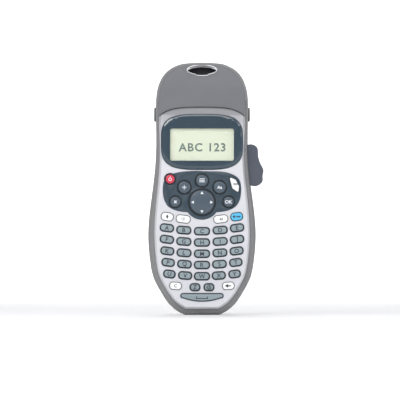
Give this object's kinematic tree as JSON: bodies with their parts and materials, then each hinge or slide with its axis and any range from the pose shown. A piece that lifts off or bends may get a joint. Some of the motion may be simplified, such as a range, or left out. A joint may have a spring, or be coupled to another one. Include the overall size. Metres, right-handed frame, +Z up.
{
  "type": "label maker",
  "caption": "Handheld label maker with a display, a rubber keypad, a cutter lever, a label mouth in the crown and covers for cells and tape.",
  "frame": {"origin": "middle of the flat foot it stands on", "axes": "+X to the user's right, -Y out of the key face, +Z up from the foot to the crown"},
  "size_m": [0.0931, 0.0465, 0.2045],
  "materials": {
    "shell_silver": "pearl silver paint over moulded plastic",
    "hood_grey": "metallic grey paint, satin",
    "shell_grey": "moulded grey plastic, fine texture",
    "bezel_slate": "glossy slate blue",
    "lens_clear": "clear window",
    "lcd_cream": "pale green liquid crystal display",
    "panel_slate": "satin slate blue",
    "board_green": "solder resist",
    "head_metal": "plain",
    "motor_steel": "nickel plated can",
    "roller_rubber": "ground rubber on a steel shaft",
    "cassette_plastic": "translucent dark violet plastic",
    "cell_metal": "white sleeve over a metal can",
    "contact_nickel": "nickel plated",
    "screw_steel": "blackened",
    "lever_grey": "satin slate grey",
    "key_teal": "satin grey-green rubber with a dark rim",
    "key_slate": "satin slate rubber",
    "key_white": "satin white rubber",
    "key_red": "satin red rubber",
    "key_blue": "satin blue rubber"
  },
  "bodies": {
    "housing": {"front_shell": "shell_silver", "top_hood": "hood_grey", "back_shell": "shell_grey", "display_bezel": "bezel_slate", "display_lens": "lens_clear", "lcd_module": "lcd_cream", "nav_panel": "panel_slate", "circuit_board": "board_green", "print_head": "head_metal", "feed_motor": "motor_steel", "tape_cassette": "cassette_plastic", "batteries": "cell_metal", "battery_contacts": "contact_nickel", "screws": "screw_steel"},
    "lever": {"cutter_lever": "lever_grey"},
    "cassette_door": {"cassette_door": "shell_grey"},
    "battery_cover": {"battery_cover": "shell_grey"},
    "roller": {"platen_roller": "roller_rubber"},
    "key_a": {"key_a": "key_teal"},
    "key_accents": {"key_accents": "key_white"},
    "key_b": {"key_b": "key_teal"},
    "key_backspace": {"key_backspace": "key_white"},
    "key_c": {"key_c": "key_teal"},
    "key_cancel": {"key_cancel": "key_slate"},
    "key_caps": {"key_caps": "key_white"},
    "key_clear": {"key_clear": "key_white"},
    "key_d": {"key_d": "key_teal"},
    "key_e": {"key_e": "key_teal"},
    "key_f": {"key_f": "key_teal"},
    "key_format": {"key_format": "key_slate"},
    "key_g": {"key_g": "key_teal"},
    "key_h": {"key_h": "key_teal"},
    "key_i": {"key_i": "key_teal"},
    "key_insert": {"key_insert": "key_slate"},
    "key_j": {"key_j": "key_teal"},
    "key_k": {"key_k": "key_teal"},
    "key_l": {"key_l": "key_teal"},
    "key_m": {"key_m": "key_teal"},
    "key_n": {"key_n": "key_teal"},
    "key_numlock": {"key_numlock": "key_white"},
    "key_o": {"key_o": "key_teal"},
    "key_ok": {"key_ok": "key_slate"},
    "key_p": {"key_p": "key_teal"},
    "key_power": {"key_power": "key_red"},
    "key_print": {"key_print": "key_white"},
    "key_q": {"key_q": "key_teal"},
    "key_r": {"key_r": "key_teal"},
    "key_s": {"key_s": "key_teal"},
    "key_save": {"key_save": "key_blue"},
    "key_settings": {"key_settings": "key_slate"},
    "key_space": {"key_space": "key_teal"},
    "key_symbol": {"key_symbol": "key_teal"},
    "key_t": {"key_t": "key_teal"},
    "key_u": {"key_u": "key_teal"},
    "key_v": {"key_v": "key_teal"},
    "key_w": {"key_w": "key_teal"},
    "key_x": {"key_x": "key_teal"},
    "key_y": {"key_y": "key_teal"},
    "key_z": {"key_z": "key_teal"},
    "nav_pad": {"nav_pad": "key_slate"}
  },
  "joints": [
    {"name": "lever_squeeze", "type": "hinge", "parent": "housing", "child": "lever", "pos_m": [0.0336, 0, 0.133], "axis": [0, 1, 0], "range_deg": [0, 8], "stiffness_Nm_per_rad": 0.4, "springref_deg": -5.73},
    {"name": "cassette_door_open", "type": "hinge", "parent": "housing", "child": "cassette_door", "pos_m": [0, 0.0262, 0.116], "axis": [-1, 0, 0], "range_deg": [0, 90]},
    {"name": "battery_cover_open", "type": "hinge", "parent": "housing", "child": "battery_cover", "pos_m": [0, 0.0172, 0.0264], "axis": [-1, 0, 0], "range_deg": [0, 90]},
    {"name": "roller_turn", "type": "hinge", "parent": "housing", "child": "roller", "pos_m": [0.0034, 0.0172, 0.179], "axis": [0, 1, 0], "continuous": true},
    {"name": "key_a_press", "type": "slide", "parent": "housing", "child": "key_a", "axis": [0, 1, 0], "range_m": [0, 0.0008], "stiffness_N_per_m": 300, "springref_m": -0.0005},
    {"name": "key_accents_press", "type": "slide", "parent": "housing", "child": "key_accents", "axis": [0, 1, 0], "range_m": [0, 0.0008], "stiffness_N_per_m": 300, "springref_m": -0.0005},
    {"name": "key_b_press", "type": "slide", "parent": "housing", "child": "key_b", "axis": [0, 1, 0], "range_m": [0, 0.0008], "stiffness_N_per_m": 300, "springref_m": -0.0005},
    {"name": "key_backspace_press", "type": "slide", "parent": "housing", "child": "key_backspace", "axis": [0, 1, 0], "range_m": [0, 0.0008], "stiffness_N_per_m": 300, "springref_m": -0.0005},
    {"name": "key_c_press", "type": "slide", "parent": "housing", "child": "key_c", "axis": [0, 1, 0], "range_m": [0, 0.0008], "stiffness_N_per_m": 300, "springref_m": -0.0005},
    {"name": "key_cancel_press", "type": "slide", "parent": "housing", "child": "key_cancel", "axis": [0, 1, 0], "range_m": [0, 0.0008], "stiffness_N_per_m": 300, "springref_m": -0.0005},
    {"name": "key_caps_press", "type": "slide", "parent": "housing", "child": "key_caps", "axis": [0, 1, 0], "range_m": [0, 0.0008], "stiffness_N_per_m": 300, "springref_m": -0.0005},
    {"name": "key_clear_press", "type": "slide", "parent": "housing", "child": "key_clear", "axis": [0, 1, 0], "range_m": [0, 0.0008], "stiffness_N_per_m": 300, "springref_m": -0.0005},
    {"name": "key_d_press", "type": "slide", "parent": "housing", "child": "key_d", "axis": [0, 1, 0], "range_m": [0, 0.0008], "stiffness_N_per_m": 300, "springref_m": -0.0005},
    {"name": "key_e_press", "type": "slide", "parent": "housing", "child": "key_e", "axis": [0, 1, 0], "range_m": [0, 0.0008], "stiffness_N_per_m": 300, "springref_m": -0.0005},
    {"name": "key_f_press", "type": "slide", "parent": "housing", "child": "key_f", "axis": [0, 1, 0], "range_m": [0, 0.0008], "stiffness_N_per_m": 300, "springref_m": -0.0005},
    {"name": "key_format_press", "type": "slide", "parent": "housing", "child": "key_format", "axis": [0, 1, 0], "range_m": [0, 0.0008], "stiffness_N_per_m": 300, "springref_m": -0.0005},
    {"name": "key_g_press", "type": "slide", "parent": "housing", "child": "key_g", "axis": [0, 1, 0], "range_m": [0, 0.0008], "stiffness_N_per_m": 300, "springref_m": -0.0005},
    {"name": "key_h_press", "type": "slide", "parent": "housing", "child": "key_h", "axis": [0, 1, 0], "range_m": [0, 0.0008], "stiffness_N_per_m": 300, "springref_m": -0.0005},
    {"name": "key_i_press", "type": "slide", "parent": "housing", "child": "key_i", "axis": [0, 1, 0], "range_m": [0, 0.0008], "stiffness_N_per_m": 300, "springref_m": -0.0005},
    {"name": "key_insert_press", "type": "slide", "parent": "housing", "child": "key_insert", "axis": [0, 1, 0], "range_m": [0, 0.0008], "stiffness_N_per_m": 300, "springref_m": -0.0005},
    {"name": "key_j_press", "type": "slide", "parent": "housing", "child": "key_j", "axis": [0, 1, 0], "range_m": [0, 0.0008], "stiffness_N_per_m": 300, "springref_m": -0.0005},
    {"name": "key_k_press", "type": "slide", "parent": "housing", "child": "key_k", "axis": [0, 1, 0], "range_m": [0, 0.0008], "stiffness_N_per_m": 300, "springref_m": -0.0005},
    {"name": "key_l_press", "type": "slide", "parent": "housing", "child": "key_l", "axis": [0, 1, 0], "range_m": [0, 0.0008], "stiffness_N_per_m": 300, "springref_m": -0.0005},
    {"name": "key_m_press", "type": "slide", "parent": "housing", "child": "key_m", "axis": [0, 1, 0], "range_m": [0, 0.0008], "stiffness_N_per_m": 300, "springref_m": -0.0005},
    {"name": "key_n_press", "type": "slide", "parent": "housing", "child": "key_n", "axis": [0, 1, 0], "range_m": [0, 0.0008], "stiffness_N_per_m": 300, "springref_m": -0.0005},
    {"name": "key_numlock_press", "type": "slide", "parent": "housing", "child": "key_numlock", "axis": [0, 1, 0], "range_m": [0, 0.0008], "stiffness_N_per_m": 300, "springref_m": -0.0005},
    {"name": "key_o_press", "type": "slide", "parent": "housing", "child": "key_o", "axis": [0, 1, 0], "range_m": [0, 0.0008], "stiffness_N_per_m": 300, "springref_m": -0.0005},
    {"name": "key_ok_press", "type": "slide", "parent": "housing", "child": "key_ok", "axis": [0, 1, 0], "range_m": [0, 0.0008], "stiffness_N_per_m": 300, "springref_m": -0.0005},
    {"name": "key_p_press", "type": "slide", "parent": "housing", "child": "key_p", "axis": [0, 1, 0], "range_m": [0, 0.0008], "stiffness_N_per_m": 300, "springref_m": -0.0005},
    {"name": "key_power_press", "type": "slide", "parent": "housing", "child": "key_power", "axis": [0, 1, 0], "range_m": [0, 0.0008], "stiffness_N_per_m": 300, "springref_m": -0.0005},
    {"name": "key_print_press", "type": "slide", "parent": "housing", "child": "key_print", "axis": [0, 1, 0], "range_m": [0, 0.0008], "stiffness_N_per_m": 300, "springref_m": -0.0005},
    {"name": "key_q_press", "type": "slide", "parent": "housing", "child": "key_q", "axis": [0, 1, 0], "range_m": [0, 0.0008], "stiffness_N_per_m": 300, "springref_m": -0.0005},
    {"name": "key_r_press", "type": "slide", "parent": "housing", "child": "key_r", "axis": [0, 1, 0], "range_m": [0, 0.0008], "stiffness_N_per_m": 300, "springref_m": -0.0005},
    {"name": "key_s_press", "type": "slide", "parent": "housing", "child": "key_s", "axis": [0, 1, 0], "range_m": [0, 0.0008], "stiffness_N_per_m": 300, "springref_m": -0.0005},
    {"name": "key_save_press", "type": "slide", "parent": "housing", "child": "key_save", "axis": [0, 1, 0], "range_m": [0, 0.0008], "stiffness_N_per_m": 300, "springref_m": -0.0005},
    {"name": "key_settings_press", "type": "slide", "parent": "housing", "child": "key_settings", "axis": [0, 1, 0], "range_m": [0, 0.0008], "stiffness_N_per_m": 300, "springref_m": -0.0005},
    {"name": "key_space_press", "type": "slide", "parent": "housing", "child": "key_space", "axis": [0, 1, 0], "range_m": [0, 0.0008], "stiffness_N_per_m": 300, "springref_m": -0.0005},
    {"name": "key_symbol_press", "type": "slide", "parent": "housing", "child": "key_symbol", "axis": [0, 1, 0], "range_m": [0, 0.0008], "stiffness_N_per_m": 300, "springref_m": -0.0005},
    {"name": "key_t_press", "type": "slide", "parent": "housing", "child": "key_t", "axis": [0, 1, 0], "range_m": [0, 0.0008], "stiffness_N_per_m": 300, "springref_m": -0.0005},
    {"name": "key_u_press", "type": "slide", "parent": "housing", "child": "key_u", "axis": [0, 1, 0], "range_m": [0, 0.0008], "stiffness_N_per_m": 300, "springref_m": -0.0005},
    {"name": "key_v_press", "type": "slide", "parent": "housing", "child": "key_v", "axis": [0, 1, 0], "range_m": [0, 0.0008], "stiffness_N_per_m": 300, "springref_m": -0.0005},
    {"name": "key_w_press", "type": "slide", "parent": "housing", "child": "key_w", "axis": [0, 1, 0], "range_m": [0, 0.0008], "stiffness_N_per_m": 300, "springref_m": -0.0005},
    {"name": "key_x_press", "type": "slide", "parent": "housing", "child": "key_x", "axis": [0, 1, 0], "range_m": [0, 0.0008], "stiffness_N_per_m": 300, "springref_m": -0.0005},
    {"name": "key_y_press", "type": "slide", "parent": "housing", "child": "key_y", "axis": [0, 1, 0], "range_m": [0, 0.0008], "stiffness_N_per_m": 300, "springref_m": -0.0005},
    {"name": "key_z_press", "type": "slide", "parent": "housing", "child": "key_z", "axis": [0, 1, 0], "range_m": [0, 0.0008], "stiffness_N_per_m": 300, "springref_m": -0.0005},
    {"name": "nav_pad_press", "type": "slide", "parent": "housing", "child": "nav_pad", "axis": [0, 1, 0], "range_m": [0, 0.0008], "stiffness_N_per_m": 300, "springref_m": -0.0005}
  ]
}
